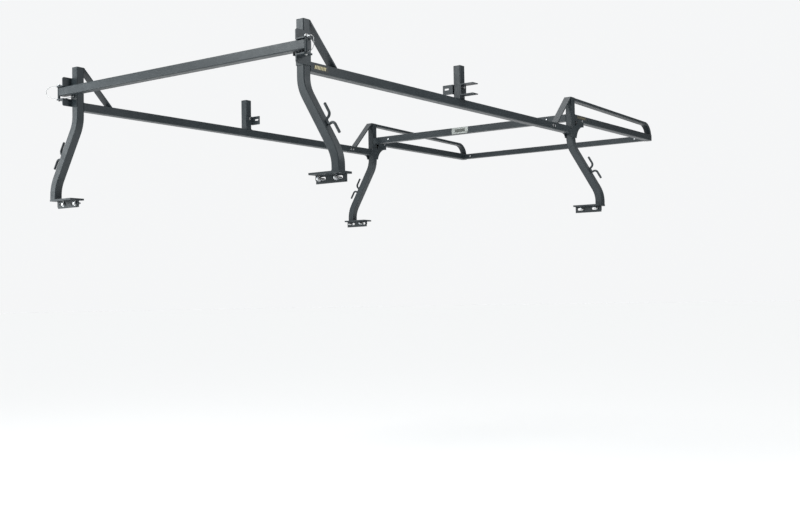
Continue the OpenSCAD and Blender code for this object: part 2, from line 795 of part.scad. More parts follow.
// Blank information plate on the front crossbar's rear face
module spec_plate() {
    plate_x = front_post_x - plate_gap - plate_size[0];
    color(STEEL) translate([plate_x, plate_y, crossbar_z - plate_size[2] / 2]) cube(plate_size);
}

module decal(spec) {
    translate([spec[0], -rail_out - decal_t - plate_gap, spec[2]]) cube([spec[1], decal_t, spec[3]]);
}

// Blank stickers on the right-hand rails
module decals() {
    color([0.80, 0.78, 0.60]) {
        decal(side_decal);
        decal(cab_decal);
    }
}

on_side(LEFT) post(0);  // post_rear_left
on_side(RIGHT) post(0);  // post_rear_right
on_side(LEFT) post(front_post_x);  // post_front_left
on_side(RIGHT) post(front_post_x);  // post_front_right
post_caps();
on_side(LEFT) foot();  // foot_rear_left
on_side(RIGHT) foot();  // foot_rear_right
on_side(LEFT) at_front() foot();  // foot_front_left
on_side(RIGHT) at_front() foot();  // foot_front_right
foot_bolts();
foot_washers();
on_side(LEFT) side_rail();  // side_rail_left
on_side(RIGHT) side_rail();  // side_rail_right
rail_sleeves();
splice_bolts();
on_side(LEFT) rear_brace();  // rear_brace_left
on_side(RIGHT) rear_brace();  // rear_brace_right
on_side(LEFT) front_brace();  // front_brace_left
on_side(RIGHT) front_brace();  // front_brace_right
on_side(LEFT) hoop();  // hoop_left
on_side(RIGHT) hoop();  // hoop_right
on_side(LEFT) cab_rail();  // cab_rail_left
on_side(RIGHT) cab_rail();  // cab_rail_right
cab_rail_caps();
on_side(LEFT) gusset();  // gusset_left
on_side(RIGHT) gusset();  // gusset_right
gusset_bolts();
front_crossbar();
crossbar_stubs();
crossbar_sleeves();
crossbar_bolts();
header_bar();
header_stubs();
header_sleeves();
header_bolts();
on_side(LEFT) bar_bracket();  // bar_bracket_left
on_side(RIGHT) bar_bracket();  // bar_bracket_right
rear_bar();
bar_end(LEFT);  // bar_end_left
bar_end(RIGHT);  // bar_end_right
on_side(LEFT) lock_pin();  // lock_pin_left
on_side(RIGHT) lock_pin();  // lock_pin_right
lanyard_tags();
lanyard_anchors();
on_side(LEFT) lanyard(LEFT_LANYARD);  // lanyard_left
on_side(RIGHT) lanyard(RIGHT_LANYARD);  // lanyard_right
on_side(LEFT) stake();  // stake_left
on_side(RIGHT) stake();  // stake_right
stake_caps();
on_side(LEFT) stake_angle();  // stake_angle_left
turned() stake_angle();  // stake_angle_right
stake_channel();
stake_bolts();
on_side(LEFT) cleat();  // cleat_rear_left
on_side(RIGHT) cleat();  // cleat_rear_right
on_side(LEFT) at_front() cleat();  // cleat_front_left
on_side(RIGHT) at_front() cleat();  // cleat_front_right
spec_plate();
decals();
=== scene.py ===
import json
import math

import bpy
import numpy as np
from mathutils import Matrix, Vector


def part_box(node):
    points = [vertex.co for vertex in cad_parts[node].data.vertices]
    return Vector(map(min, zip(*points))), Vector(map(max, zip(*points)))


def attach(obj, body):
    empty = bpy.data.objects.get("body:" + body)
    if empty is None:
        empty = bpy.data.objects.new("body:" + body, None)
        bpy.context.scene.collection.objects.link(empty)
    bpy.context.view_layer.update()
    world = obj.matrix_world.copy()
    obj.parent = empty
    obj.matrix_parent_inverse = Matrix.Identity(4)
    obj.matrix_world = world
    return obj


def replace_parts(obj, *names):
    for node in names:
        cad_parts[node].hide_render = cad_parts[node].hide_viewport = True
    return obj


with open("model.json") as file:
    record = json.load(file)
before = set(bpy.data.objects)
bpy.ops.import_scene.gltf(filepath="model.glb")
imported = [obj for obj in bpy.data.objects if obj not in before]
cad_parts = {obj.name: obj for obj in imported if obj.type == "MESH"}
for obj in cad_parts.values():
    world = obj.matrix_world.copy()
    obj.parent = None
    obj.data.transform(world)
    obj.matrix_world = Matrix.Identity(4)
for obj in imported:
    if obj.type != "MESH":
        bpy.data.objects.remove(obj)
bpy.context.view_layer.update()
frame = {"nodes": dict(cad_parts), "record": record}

LEFT, RIGHT = 1, -1
SIDES = ((LEFT, "left"), (RIGHT, "right"))
MM = 0.001
X, Y, Z = Vector((1, 0, 0)), Vector((0, 1, 0)), Vector((0, 0, 1))


# ---- Camera ----

def place_camera():
    """Behind and to the right of the vehicle, a little above its bumper, looking slightly up."""
    yaw, pitch, roll = (math.radians(a) for a in (36.2, 2.1, -0.9))
    ahead = Vector((math.cos(yaw) * math.cos(pitch), math.sin(yaw) * math.cos(pitch), math.sin(pitch)))
    level = ahead.cross(Z).normalized()
    above = level.cross(ahead)
    right = math.cos(roll) * level + math.sin(roll) * above
    up = -math.sin(roll) * level + math.cos(roll) * above
    camera = bpy.data.objects.new("camera", bpy.data.cameras.new("camera"))
    bpy.context.scene.collection.objects.link(camera)
    pose = Matrix((right, up, -ahead)).transposed().to_4x4()
    pose.translation = (-3.5700, -3.9207, -0.5230)
    camera.matrix_world = pose
    camera.data.lens = 49.05
    camera.data.clip_end = 200
    bpy.context.scene.camera = camera


place_camera()


# ---- Mesh code ----

def spaced(points, step, closed=False):
    """Points along the route, about a step apart, with its corners kept."""
    route = [Vector(p) for p in points]
    if closed:
        route.append(route[0])
    out = []
    for a, b in zip(route, route[1:]):
        n = max(1, round((b - a).length / step))
        out += [a.lerp(b, i / n) for i in range(n)]
    if not closed:
        out.append(route[-1])
    return out


def smooth_route(points, parts):
    """Catmull-Rom curve through the points, each span cut into that many parts."""
    p = [np.array(q, float) for q in points]
    p = [2 * p[0] - p[1]] + p + [2 * p[-1] - p[-2]]
    out = []
    for i in range(1, len(p) - 2):
        for k in range(parts):
            t = k / parts
            out.append(0.5 * (2 * p[i] + (p[i + 1] - p[i - 1]) * t
                              + (2 * p[i - 1] - 5 * p[i] + 4 * p[i + 1] - p[i + 2]) * t ** 2
                              + (3 * p[i] - p[i - 1] - 3 * p[i + 1] + p[i + 2]) * t ** 3))
    return [Vector(q) for q in out + [p[-2]]]


class Builder:
    """Collects surfaces and makes one piece of them."""

    def __init__(self):
        self.verts, self.faces = [], []

    def add(self, verts, faces):
        base = len(self.verts)
        self.verts += [tuple(v) for v in verts]
        self.faces += [[base + i for i in f] for f in faces]

    def rings(self, rings, closed=False):
        """Skin over rings of equal size. Open ends are filled."""
        n, m = len(rings[0]), len(rings)
        faces = []
        for i in range(m if closed else m - 1):
            a, b = i * n, (i + 1) % m * n
            faces += [[a + k, a + (k + 1) % n, b + (k + 1) % n, b + k] for k in range(n)]
        if not closed:
            faces += [list(range(n - 1, -1, -1)), [(m - 1) * n + k for k in range(n)]]
        self.add([v for r in rings for v in r], faces)

    def lathe(self, profile, place, sides, shape=None):
        """Turns a profile of (radius, height) about the place's Z axis. shape alters a point."""
        rings = []
        for r, z in profile:
            ring = []
            for k in range(sides):
                t = 2 * math.pi * k / sides
                rr, zz = shape(r, z, t) if shape else (r, z)
                ring.append(place @ Vector((rr * math.cos(t), rr * math.sin(t), zz)))
            rings.append(ring)
        self.rings(rings)

    def piece(self, name, material, body, slot, crease):
        """Makes the piece, with edges sharper than the crease angle kept sharp."""
        mesh = bpy.data.meshes.new(name)
        mesh.from_pydata(self.verts, [], self.faces)
        mesh.validate()
        mesh.shade_smooth()
        mesh.set_sharp_from_angle(angle=math.radians(crease))
        mesh.materials.append(material)
        obj = bpy.data.objects.new(name, mesh)
        bpy.context.scene.collection.objects.link(obj)
        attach(obj, body)
        return obj


# ---- Material code ----

class Nodes:
    """A few node shorthands for one material."""

    def __init__(self, name):
        self.material = bpy.data.materials.new(name)
        self.material.use_nodes = True
        self.tree = self.material.node_tree
        self.shader = self.tree.nodes["Principled BSDF"]
        self.place = self.new("ShaderNodeTexCoord").outputs["Object"]

    def new(self, kind, **values):
        node = self.tree.nodes.new(kind)
        for key, value in values.items():
            setattr(node, key, value)
        return node

    def link(self, source, target):
        self.tree.links.new(source, target)

    def set(self, **values):
        for key, value in values.items():
            self.shader.inputs[key.replace("_", " ")].default_value = value

    def stretch(self, scale):
        node = self.new("ShaderNodeMapping")
        node.inputs["Scale"].default_value = scale
        self.link(self.place, node.inputs["Vector"])
        return node.outputs["Vector"]

    def noise(self, scale, detail, roughness=0.55, vector=None):
        node = self.new("ShaderNodeTexNoise")
        node.inputs["Scale"].default_value = scale
        node.inputs["Detail"].default_value = detail
        node.inputs["Roughness"].default_value = roughness
        self.link(vector or self.place, node.inputs["Vector"])
        return node.outputs["Fac"]

    def ramp(self, factor, stops):
        node = self.new("ShaderNodeValToRGB")
        ramp = node.color_ramp
        while len(ramp.elements) < len(stops):
            ramp.elements.new(0.5)
        for element, (at, colour) in zip(ramp.elements, stops):
            element.position = at
            element.color = (*colour, 1)
        self.link(factor, node.inputs["Fac"])
        return node.outputs["Color"]

    def span(self, factor, low, high, to_low=0.0, to_high=1.0):
        node = self.new("ShaderNodeMapRange")
        for key, value in zip(("From Min", "From Max", "To Min", "To Max"), (low, high, to_low, to_high)):
            node.inputs[key].default_value = value
        self.link(factor, node.inputs["Value"])
        return node.outputs["Result"]

    def math(self, operation, a, b):
        node = self.new("ShaderNodeMath", operation=operation)
        for socket, value in zip(node.inputs, (a, b)):
            if isinstance(value, (int, float)):
                socket.default_value = value
            else:
                self.link(value, socket)
        return node.outputs[0]

    def mix(self, factor, a, b):
        node = self.new("ShaderNodeMix", data_type="RGBA")
        self.link(factor, node.inputs["Factor"])
        for socket, value in ((node.inputs[6], a), (node.inputs[7], b)):
            if isinstance(value, tuple):
                socket.default_value = (*value, 1)
            else:
                self.link(value, socket)
        return node.outputs[2]

    def bump(self, height, distance, strength, below=None):
        node = self.new("ShaderNodeBump")
        node.inputs["Strength"].default_value = strength
        node.inputs["Distance"].default_value = distance
        self.link(height, node.inputs["Height"])
        if below is not None:
            self.link(below, node.inputs["Normal"])
        return node.outputs["Normal"]

    def finish(self, colour, roughness, normal):
        self.link(colour, self.shader.inputs["Base Color"])
        self.link(roughness, self.shader.inputs["Roughness"])
        self.link(normal, self.shader.inputs["Normal"])
        return self.material


def powder_coat():
    """Charcoal satin powder coat: orange peel, a fine fleck, faint dust, and scuffs on its top faces."""
    m = Nodes("powder_coat")
    m.set(Metallic=0.0, IOR=1.5, Specular_IOR_Level=0.42)
    cloud = m.noise(2.6, 4)
    fleck = m.noise(1500, 1)
    peel = m.noise(420, 2)
    base = m.mix(m.span(cloud, 0.35, 0.65), (0.019, 0.026, 0.030), (0.027, 0.036, 0.041))
    base = m.mix(m.span(fleck, 0.60, 0.76, 0, 0.5), base, (0.062, 0.070, 0.075))
    upward = m.new("ShaderNodeSeparateXYZ")
    m.link(m.new("ShaderNodeTexCoord").outputs["Normal"], upward.inputs[0])
    top = m.span(upward.outputs["Z"], 0.75, 0.98)
    streak = m.span(m.noise(38, 3, 0.6, m.stretch((1, 0.06, 1))), 0.58, 0.74)
    patch = m.span(m.noise(5.5, 3), 0.44, 0.66)
    scuff = m.math("MULTIPLY", m.math("MULTIPLY", streak, patch), top)
    dust = m.math("MULTIPLY", m.span(m.noise(13, 5, 0.65), 0.45, 0.8), top)
    colour = m.mix(m.math("MULTIPLY", dust, 0.22), base, (0.13, 0.128, 0.120))
    colour = m.mix(m.math("MULTIPLY", scuff, 0.55), colour, (0.11, 0.117, 0.121))
    rough = m.math("ADD", m.span(m.noise(24, 4), 0.3, 0.7, 0.36, 0.47), m.math("MULTIPLY", dust, 0.2))
    normal = m.bump(peel, 0.00010, 0.55)
    normal = m.bump(fleck, 0.00003, 0.4, normal)
    return m.finish(colour, rough, normal)


def zinc_plate():
    """Bright zinc with a faint blue and straw tint, spangled and finely tumbled."""
    m = Nodes("zinc_plate")
    m.set(Metallic=1.0)
    stops = [(0.32, (0.46, 0.49, 0.54)), (0.52, (0.58, 0.59, 0.60)), (0.70, (0.60, 0.57, 0.50))]
    colour = m.ramp(m.noise(160, 3), stops)
    rough = m.span(m.noise(700, 3), 0.3, 0.7, 0.22, 0.40)
    return m.finish(colour, rough, m.bump(m.noise(2600, 2), 0.00003, 0.5))


def wire_steel():
    """Drawn steel wire, duller in its grooves."""
    m = Nodes("wire_steel")
    m.set(Metallic=1.0)
    colour = m.ramp(m.noise(900, 3), [(0.3, (0.34, 0.35, 0.36)), (0.7, (0.60, 0.60, 0.59))])
    rough = m.span(m.noise(1400, 2), 0.3, 0.7, 0.24, 0.42)
    return m.finish(colour, rough, m.bump(m.noise(4200, 2), 0.00002, 0.5))


def info_plate():
    """Aluminium brushed along its length, a little stained."""
    m = Nodes("info_plate")
    m.set(Metallic=0.85)
    brush = m.noise(2200, 2, 0.6, m.stretch((1, 0.02, 1)))
    stain = m.noise(28, 4)
    colour = m.mix(m.span(stain, 0.35, 0.72), (0.40, 0.42, 0.40), (0.25, 0.26, 0.24))
    colour = m.mix(m.span(brush, 0.4, 0.7, 0, 0.35), colour, (0.50, 0.51, 0.50))
    return m.finish(colour, m.span(brush, 0.3, 0.7, 0.30, 0.46), m.bump(brush, 0.00004, 0.6))


def film(name, fresh, aged):
    """Matt printed film that has faded in patches."""
    m = Nodes(name)
    m.set(Metallic=0.0, IOR=1.46)
    grain = m.noise(600, 3)
    colour = m.mix(m.span(m.noise(45, 4), 0.35, 0.7), fresh, aged)
    colour = m.mix(m.span(m.noise(260, 4, 0.7), 0.58, 0.72, 0, 0.5), colour, (0.10, 0.10, 0.09))
    return m.finish(colour, m.span(grain, 0.3, 0.7, 0.40, 0.58), m.bump(grain, 0.00003, 0.4))


POWDER, ZINC, WIRE, PLATE = powder_coat(), zinc_plate(), wire_steel(), info_plate()
FILM = film("sticker", (0.035, 0.037, 0.036), (0.060, 0.058, 0.050))
CREAM = film("sticker_print", (0.74, 0.68, 0.42), (0.55, 0.48, 0.26))
FADED = film("sticker_faded", (0.17, 0.155, 0.085), (0.11, 0.10, 0.06))
GREY = film("plate_print", (0.13, 0.14, 0.13), (0.09, 0.10, 0.09))


# ---- Lanyards ----

# Their routes in mm, from the ferrules by the pins' heads, out and round under the rear crossbar to
# the tabs on the brackets. The right one is given as if on the left.
LANYARDS = {
    "left": [
        (-42, 876, 596.9), (-42, 886, 597.1), (-41.5, 900, 598), (-41, 915, 599), (-40, 930, 598.8),
        (-39, 945, 596.5), (-38, 958, 591.5), (-37, 968, 584.5), (-36, 973.5, 575.5), (-35, 973, 566),
        (-34, 966.5, 558), (-32.5, 955.5, 551.5), (-31, 941, 546.5), (-29.5, 925, 542),
        (-28, 908, 537.5), (-26, 890, 533.5), (-23.5, 873, 531), (-21, 856, 530), (-19, 840, 530.3),
        (-17, 824, 531), (-15.5, 808, 532), (-14, 793, 533), (-13, 778, 533.5), (-13, 763.5, 533.5)],
    "right": [
        (-42, 876, 596.9), (-41.5, 883, 596.2), (-40, 889.5, 592.5), (-38, 893, 586), (-36, 893.5, 578),
        (-34, 892.5, 569), (-32, 891, 560), (-30, 887.5, 551), (-28, 881.5, 543.5), (-25.5, 872.5, 538),
        (-23, 861, 534), (-21, 848, 531.5), (-19, 834, 530.5), (-17, 820, 530.8), (-15.5, 806, 532),
        (-14, 792, 533), (-13, 778, 533.5), (-13, 763.5, 533.5)],
}
LANYARD_D = 3.2 * MM
STRANDS, LAY, GROOVE = 6, 22 * MM, 0.20


def make_lanyard(side, name):
    """Wire rope of six strands laid round a core, as one fluted tube that twists along its route."""
    route = smooth_route([(x * MM, side * y * MM, z * MM) for x, y, z in LANYARDS[name]], 26)
    rings, around, gone, sides = [], None, 0.0, 30
    for i, p in enumerate(route):
        ahead = (route[min(i + 1, len(route) - 1)] - route[max(i - 1, 0)]).normalized()
        if around is None:
            around = ahead.cross(X).normalized()
        around = (around - around.dot(ahead) * ahead).normalized()
        other = ahead.cross(around)
        if i:
            gone += (p - route[i - 1]).length
        lay = 2 * math.pi * gone / LAY
        ring = []
        for k in range(sides):
            t = 2 * math.pi * k / sides
            r = LANYARD_D / 2 * (1 - GROOVE + GROOVE * abs(math.cos(STRANDS / 2 * (t - lay))))
            ring.append(p + r * (math.cos(t) * around + math.sin(t) * other))
        rings.append(ring)
    built = Builder()
    built.rings(rings)
    rope = built.piece(f"wire_{name}", WIRE, "rack", "wire_steel", 60)
    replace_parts(rope, f"lanyard_{name}")


for side, name in SIDES:
    make_lanyard(side, name)


# ---- Finishes of the CAD nodes ----

FINISH = {"powder_coat": POWDER, "zinc_plate": ZINC, "wire_steel": WIRE, "info_plate": PLATE, "sticker": FILM}
for part in frame["record"]["subparts"]:
    node = frame["nodes"][part["node"]]
    node.data.materials.clear()
    node.data.materials.append(FINISH[part["material_slot"]])


# ---- Places, from the frame's boxes, in mm ----

def box_mm(node):
    """Lowest and highest corners of a CAD node."""
    return [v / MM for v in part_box(node)]


def at(side, x, y, z):
    """Point of the given side, from millimetres of the left one."""
    return Vector((x * MM, side * y * MM, z * MM))


TUBE = 44.45
_, post_hi = box_mm("post_rear_left")
rail_lo, rail_hi = box_mm("side_rail_left")
front_lo, front_hi = box_mm("post_front_left")
cab_lo, cab_hi = box_mm("cab_rail_left")
foot_lo, foot_hi = box_mm("foot_rear_left")
_, brace_hi = box_mm("rear_brace_left")
strut_lo, strut_hi = box_mm("front_brace_left")
_, hoop_hi = box_mm("hoop_left")
gusset_lo, gusset_hi = box_mm("gusset_left")
bracket_lo, bracket_hi = box_mm("bar_bracket_left")
header_lo, header_hi = box_mm("header_stubs")
stake_lo, stake_hi = box_mm("stake_left")

# The side rails' inboard and outboard faces, and the front posts' rear and front faces
IN, OUT = rail_lo.y, rail_hi.y
FRONT, AHEAD = front_lo.x, front_hi.x
RAIL_Y, RAIL_Z = (IN + OUT) / 2, (rail_lo.z + rail_hi.z) / 2
CAB_Z = (cab_lo.z + cab_hi.z) / 2
HEADER_Z = (header_lo.z + header_hi.z) / 2

# The hook-down flange's face, the middles of its slots, and where in them the bolts are
FLANGE_X = foot_lo.x + 47
FOOT_SLOTS, FOOT_BOLT_SHIFT, FOOT_BOLT_Z = (857, 953), 12, -14.5

# The pull pins, and the ferrules of their tags
PIN_X, PIN_Y, FERRULE_Z = -42, 856, 596.9

# Thickness of the gussets' cheeks, the stakes' slotted angles and the right-hand channel
GUSSET_T, ANGLE_T, CHANNEL_T = 4.8, 4.8, 5

# Sides of the guard hoops' and the header bar's tubes, and the foot washers' thickness
HOOP_T, HEADER_TUBE, WASHER_T = 19.05, 38.1, 2.5

# The bolts: back from the front posts, forward and up, out from the centre line, and up
SPLICE_BOLTS_BACK, GUSSET_BOLT = (254.5, 227.5), (124, 552.5)
CROSSBAR_BOLT_Y, HEADER_BOLT_Y, STAKE_BOLT_Z = 626, 697, 572


# ---- Weld beads ----

BEAD_R = 2.6 * MM


def bead(built, points, up, r=BEAD_R, closed=False):
    """Rippled bead along a route. up is a direction square to it."""
    pitch, steps, sides = 4.2 * MM, 4, 8
    route = spaced(points, pitch / steps, closed)
    up, rings, n = Vector(up).normalized(), [], len(route)
    for i, p in enumerate(route):
        a = route[(i - 1) % n] if closed else route[max(i - 1, 0)]
        b = route[(i + 1) % n] if closed else route[min(i + 1, n - 1)]
        ahead = (b - a).normalized()
        out = ahead.cross(up).normalized()
        swell = 0.86 + 0.14 * ((i % steps) / (steps - 1)) + 0.05 * math.sin(i * 1.7)
        if not closed:
            swell *= min(1.0, 0.35 + 0.4 * min(i, n - 1 - i))
        rings.append([p + r * swell * (math.cos(t) * out + math.sin(t) * up)
                      for t in (2 * math.pi * k / sides for k in range(sides))])
    built.rings(rings, closed)


def across(built, side, x, z, trim=3, r=BEAD_R):
    """Bead across a tube of the rails' width, stopping short of its faces."""
    bead(built, [at(side, x, IN + trim, z), at(side, x, OUT - trim, z)], X, r)


def frame_of(centre, a, b, r=5 * MM):
    """Route round a rectangle with rounded corners, from its centre and two half axes."""
    route = []
    for sa, sb, start in ((1, 1, 0), (-1, 1, 90), (-1, -1, 180), (1, -1, 270)):
        middle = centre + sa * (a - a.normalized() * r) + sb * (b - b.normalized() * r)
        for k in range(5):
            t = math.radians(start + 90 * k / 4)
            route.append(middle + r * (math.cos(t) * a.normalized() + math.sin(t) * b.normalized()))
    return route


def weld_feet(built):
    """Round the posts on their base plates, and along the flanges under them."""
    top, inner, outer = foot_hi.z, post_hi.y - TUBE, post_hi.y
    for side, _ in SIDES:
        for start, sign in ((0, 1), (AHEAD, -1)):
            route = ((1, inner), (TUBE - 4, inner), (TUBE - 1.2, inner + 1.2), (TUBE, inner + 4),
                     (TUBE, outer - 3))
            bead(built, [at(side, start + sign * x, y, top) for x, y in route], Z, 3.4 * MM)
            x = start + sign * FLANGE_X
            bead(built, [at(side, x, foot_lo.y + 3, 0), at(side, x, foot_hi.y - 3, 0)], X, 2.4 * MM)


def weld_rails(built):
    """Where the side rails, cab rails and header stubs meet the posts and rails."""
    half = TUBE / 2 * MM
    header_half = (header_hi.x - header_lo.x) / 2 * MM
    for side, _ in SIDES:
        bead(built, frame_of(at(side, TUBE, RAIL_Y, RAIL_Z), Y * half, Z * half), X, closed=True)
        for z in (rail_lo.z, rail_hi.z):
            across(built, side, FRONT, z)
        bead(built, frame_of(at(side, AHEAD, RAIL_Y, CAB_Z), Y * half, Z * half), X, closed=True)
        for z in (cab_lo.z, cab_hi.z):
            bead(built, [at(side, FRONT + 3, IN, z), at(side, AHEAD - 3, IN, z)], Y)
        middle = at(side, (header_lo.x + header_hi.x) / 2, IN, HEADER_Z)
        bead(built, frame_of(middle, X * header_half, Z * header_half), Y, 2.2 * MM, closed=True)


def weld_braces(built):
    """Ends of the flat braces, and of the guard hoops."""
    cut = 8 * math.sqrt(2)
    for side, _ in SIDES:
        for x, z in ((TUBE, brace_hi.z - cut), (brace_hi.x, rail_hi.z), (brace_hi.x - cut, rail_hi.z),
                     (strut_lo.x, rail_hi.z), (strut_lo.x + cut, rail_hi.z), (FRONT, strut_hi.z - 8)):
            across(built, side, x, z, 2.5)
        across(built, side, AHEAD, hoop_hi.z - HOOP_T - 0.75)
        across(built, side, hoop_hi.x - HOOP_T, cab_hi.z, 3, 2.4 * MM)


def weld_gussets(built):
    """Along the gusset cheeks' edges: behind the post, across it, and over the cab rail."""
    behind_z, across_z, over_z = 475, 516, 560
    for side, _ in SIDES:
        for y in (OUT, IN):
            for route in (((gusset_lo.x, behind_z - 10), (gusset_lo.x, behind_z), (FRONT - 8.5, rail_hi.z)),
                          ((FRONT + 1, across_z), (AHEAD - 1, across_z)),
                          ((AHEAD + 23.6, cab_lo.z), (AHEAD + 37, over_z), (gusset_hi.x, over_z),
                           (gusset_hi.x, cab_lo.z + 1))):
                bead(built, [at(side, x, y, z) for x, z in route], Y, 2 * MM)


def weld_brackets(built):
    """Round the notched brackets on the posts' outboard faces, and along the ears."""
    low, high = bracket_lo.z, bracket_hi.z
    outline = ((2, low), (32, low), (39, low + 4), (40, low + 10), (40, high - 10), (39, high - 4),
               (32, high), (2, high))
    for side, _ in SIDES:
        bead(built, [at(side, x, OUT, z) for x, z in outline], Y, 2.2 * MM)
        for z in (low, high):
            bead(built, [at(side, -0.2, IN + 3, z), at(side, -0.2, OUT - 2, z)], X, 1.6 * MM)
        for ear_z in (518.5, 593.0):
            bead(built, [at(side, -53, OUT + 6, ear_z), at(side, -8, OUT + 6, ear_z)], Y, 1.8 * MM)


def weld_stakes(built):
    """Under the stakes, and in front of their toes."""
    z, front, toe = stake_lo.z, stake_lo.x + TUBE, stake_hi.x - 0.4
    for side, _ in SIDES:
        across(built, side, stake_lo.x, z)
        for near, far in ((IN + 3, IN + 9), (OUT - 9, OUT - 3)):
            bead(built, [at(side, front, near, z), at(side, front, far, z)], X)
        bead(built, [at(side, toe, RAIL_Y - 14, z), at(side, toe, RAIL_Y + 14, z)], X, 2 * MM)


def crank():
    """Middle of the straight part of a post's crank, and its directions outboard and along it."""
    lean, bend_r, upper_bend_z = math.radians(31), 165, 437.5
    out = Vector((0, math.cos(lean), math.sin(lean)))
    along = Vector((0, -math.sin(lean), math.cos(lean)))
    foot_y = post_hi.y - TUBE / 2
    length = (foot_y - RAIL_Y - 2 * bend_r * (1 - math.cos(lean))) / math.sin(lean)
    low = Vector((0, foot_y - bend_r * (1 - math.cos(lean)),
                  upper_bend_z - bend_r * math.sin(lean) - length * math.cos(lean)))
    return low + along * length / 2, out, along


def weld_cleats(built):
    """Bead along each side of each cleat's foot, on the outboard face of the post's crank."""
    middle, out, along = crank()
    drop, half_bead, half_gap, lift = 27, 11, 4.8, 0.8
    spot = middle + out * (TUBE / 2 + lift) - along * drop
    for side, _ in SIDES:
        up = Vector((0, side * out.y, out.z))
        for x in (TUBE / 2, AHEAD - TUBE / 2):
            for dx in (-half_gap, half_gap):
                ends = [spot + (x + dx) * X + reach * along for reach in (-half_bead, half_bead)]
                bead(built, [at(side, *q) for q in ends], up, 1.9 * MM)


def weld_caps(built):
    """Thin ground-down beads where the end caps meet the tubes."""
    half = (TUBE / 2 - 0.35) * MM
    for side, _ in SIDES:
        for x, z in ((TUBE / 2, post_hi.z), ((FRONT + AHEAD) / 2, post_hi.z),
                     (stake_lo.x + TUBE / 2, stake_hi.z)):
            bead(built, frame_of(at(side, x, RAIL_Y, z), X * half, Y * half), Z, 0.8 * MM, True)
        bead(built, frame_of(at(side, cab_hi.x, RAIL_Y, CAB_Z), Y * half, Z * half), X, 0.8 * MM, True)


def weld_bar_ends(built):
    """Round the rear crossbar's end caps, and up each side of the knuckles."""
    lo, hi = box_mm("rear_bar")
    outline = ((hi.x - 6, hi.z - 0.4), (lo.x + 5, hi.z - 0.4), (lo.x + 1.9, hi.z - 1.9),
               (lo.x + 0.4, hi.z - 5), (lo.x + 0.4, lo.z + 5), (lo.x + 1.9, lo.z + 1.9),
               (lo.x + 5, lo.z + 0.4), (hi.x - 6, lo.z + 0.4))
    for side, _ in SIDES:
        bead(built, [at(side, x, hi.y, z) for x, z in outline], Y, 0.8 * MM)
        for x in (PIN_X - 5.4, PIN_X + 5.4):
            bead(built, [at(side, x, hi.y + 3, lo.z + 4), at(side, x, hi.y + 3, hi.z - 4)], Y, 1.1 * MM)


WELDS = {"weld_feet": weld_feet, "weld_rails": weld_rails, "weld_braces": weld_braces,
         "weld_gussets": weld_gussets, "weld_brackets": weld_brackets, "weld_stakes": weld_stakes,
         "weld_cleats": weld_cleats, "weld_caps": weld_caps, "weld_bar_ends": weld_bar_ends}
for name, weld in WELDS.items():
    beads = Builder()
    weld(beads)
    body = "rear_crossbar" if weld is weld_bar_ends else "rack"
    beads.piece(name, POWDER, body, "powder_coat", 50)


# ---- Fasteners ----

def axis_at(origin, ahead):
    """Matrix whose Z axis points ahead, at the origin."""
    turn = Vector(ahead).to_track_quat("Z", "Y").to_matrix().to_4x4()
    turn.translation = origin
    return turn


def hex_shape(flat, top, sign):
    """Makes a hexagon of a ring, with its chamfer cut round its corners at the top height."""
    def shape(r, z, t):
        if r < flat * 0.97:
            return r, z
        corner = flat / math.cos((t + math.pi / 6) % (math.pi / 3) - math.pi / 6)
        if abs(z - top) < 1e-9:
            return corner, z - sign * (corner - flat * 0.93) * 0.5
        return corner, z
    return shape


def hex_block(built, place, r, low, high, both=False):
    """Hex head or nut between two heights, chamfered at the second, or at both."""
    flat = r * math.cos(math.pi / 6)
    sign = 1 if high > low else -1
    high_shape, low_shape = hex_shape(flat, high, sign), hex_shape(flat, low, -sign)

    def shape(q, z, t):
        if both and abs(z - low) < 1e-9:
            return low_shape(q, z, t)
        return high_shape(q, z, t)
    profile = [(flat * 0.90, low), (flat, low), (flat, high), (flat * 0.90, high)]
    built.lathe(profile, place, 48, shape)


def thread(built, place, r, low, high, pitch):
    """Helical thread between two heights, with a chamfered end."""
    sides, depths = 24, (0.0, 0.075, 0.15, 0.075)
    steps = len(depths)
    count = int((high - low) / pitch * steps) + steps
    rings = []
    for i in range(count + 1):
        ring = []
        for k in range(sides):
            z = low + pitch * (i / steps + k / sides - 1)
            z = min(max(z, low), high)
            rr = r * (1 - depths[i % steps])
            if z > high - pitch * 0.7:
                rr = min(rr, r * 0.86)
            t = 2 * math.pi * k / sides
            ring.append(place @ Vector((rr * math.cos(t), rr * math.sin(t), z)))
        rings.append(ring)
    built.rings(rings)


# Thread radius, head radius, head height and pitch
M8 = (4 * MM, 7.5 * MM, 5.3 * MM, 1.25 * MM)
M10 = (5 * MM, 9.2 * MM, 6.4 * MM, 1.5 * MM)


def bolt(built, origin, ahead, size, grip):
    """Hex bolt from under its head, with a nut at the end of its grip in mm and two threads beyond it."""
    r, head_r, head_t, pitch = size
    place, grip = axis_at(origin, ahead), grip * MM
    hex_block(built, place, head_r, 0.0, -head_t)
    hex_block(built, place, head_r, grip, grip + head_t, both=True)
    built.lathe([(r, 0.0), (r, grip)], place, 24)
    thread(built, place, r, grip + head_t - 0.5 * MM, grip + head_t + 2 * MM, pitch)


def foot_bolt(built, place):
    """Hex bolt through a flange's slot, with its thread showing behind."""
    hex_block(built, place, 10.4 * MM, 0.0, -7.5 * MM)
    built.lathe([(6.4 * MM, 0.0), (6.4 * MM, 10.5 * MM)], place, 32)
    thread(built, place, 5.9 * MM, 10 * MM, 35.5 * MM, 1.75 * MM)


